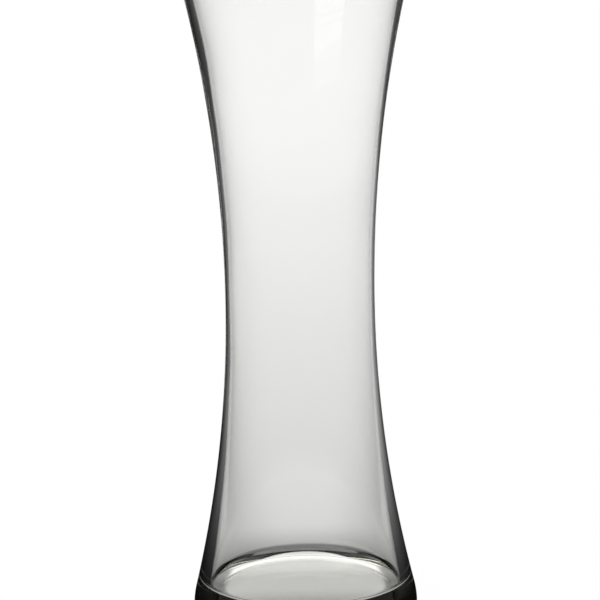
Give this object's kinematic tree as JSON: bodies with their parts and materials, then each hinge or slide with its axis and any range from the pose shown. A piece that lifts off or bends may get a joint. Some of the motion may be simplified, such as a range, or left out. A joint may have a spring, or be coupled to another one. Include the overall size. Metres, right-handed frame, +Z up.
{
  "type": "trumpet vase",
  "caption": "Clear glass vase with a waisted trumpet body, a flared, bevelled rim and a heavy solid foot, standing free on its flat underside.",
  "frame": {"origin": "on the vase's axis, at the level of the flat underside that it stands on", "axes": "+Z up along the axis, from the foot to the mouth; the vase is turned, so +X and +Y are any two horizontal directions at right angles"},
  "size_m": [0.105, 0.1048, 0.3],
  "materials": {
    "clear_glass": "polished, clear, faintly grey-green in the thick glass of the foot"
  },
  "bodies": {
    "root": {"blown_wall": "clear_glass", "heavy_base": "clear_glass"}
  },
  "joints": []
}
